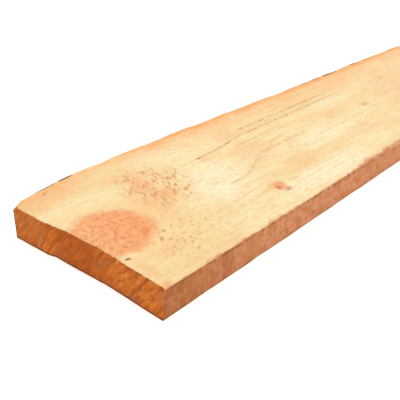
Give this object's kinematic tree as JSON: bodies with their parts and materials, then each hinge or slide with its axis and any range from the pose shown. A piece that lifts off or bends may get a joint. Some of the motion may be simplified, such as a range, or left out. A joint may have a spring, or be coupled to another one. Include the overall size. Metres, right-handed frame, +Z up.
{
  "type": "timber plank",
  "caption": "Rough-sawn softwood plank with one sawn edge, one waney edge and a roughly cut near end.",
  "frame": {"origin": "middle of the underside, on the surface the plank lies on", "axes": "+X along the grain from the rough near end to the square far end, +Y across the width from the sawn edge to the waney edge, +Z up through the thickness"},
  "size_m": [1.8, 0.225, 0.038],
  "materials": {
    "sawn_softwood": "rough-sawn, unplaned and unfinished"
  },
  "bodies": {
    "root": {"plank": "sawn_softwood"}
  },
  "joints": []
}
